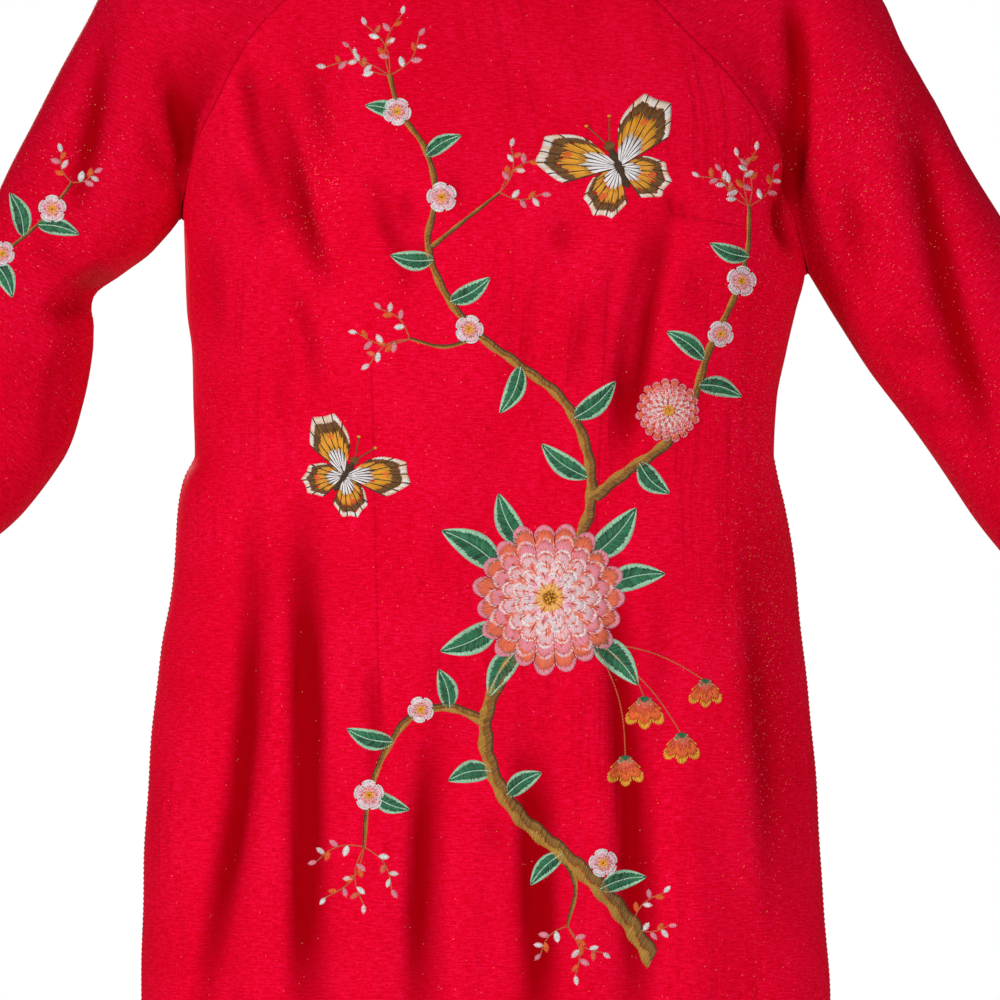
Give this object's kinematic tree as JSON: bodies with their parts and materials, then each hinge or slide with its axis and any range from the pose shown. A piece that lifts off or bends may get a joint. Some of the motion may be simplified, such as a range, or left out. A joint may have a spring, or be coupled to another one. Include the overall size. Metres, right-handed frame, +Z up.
{
  "type": "ao dai tunic",
  "caption": "Long-sleeved ao dai tunic with a stand collar, raglan sleeves, a fitted waist and side slits that leave free front and back panels, hollow and as worn.",
  "frame": {"origin": "middle of the neck opening, level with the collar seam at the shoulders", "axes": "+Z up towards the neck, -Y towards the front, +X towards the side at the right in a front view"},
  "size_m": [1.0043, 0.2595, 1.3084],
  "materials": {
    "red_silk": "slubbed silk blend with a soft sheen and fine glitter"
  },
  "bodies": {
    "root": {"front_panel": "red_silk", "back_panel": "red_silk", "sleeve_left": "red_silk", "sleeve_right": "red_silk", "collar": "red_silk"}
  },
  "joints": []
}
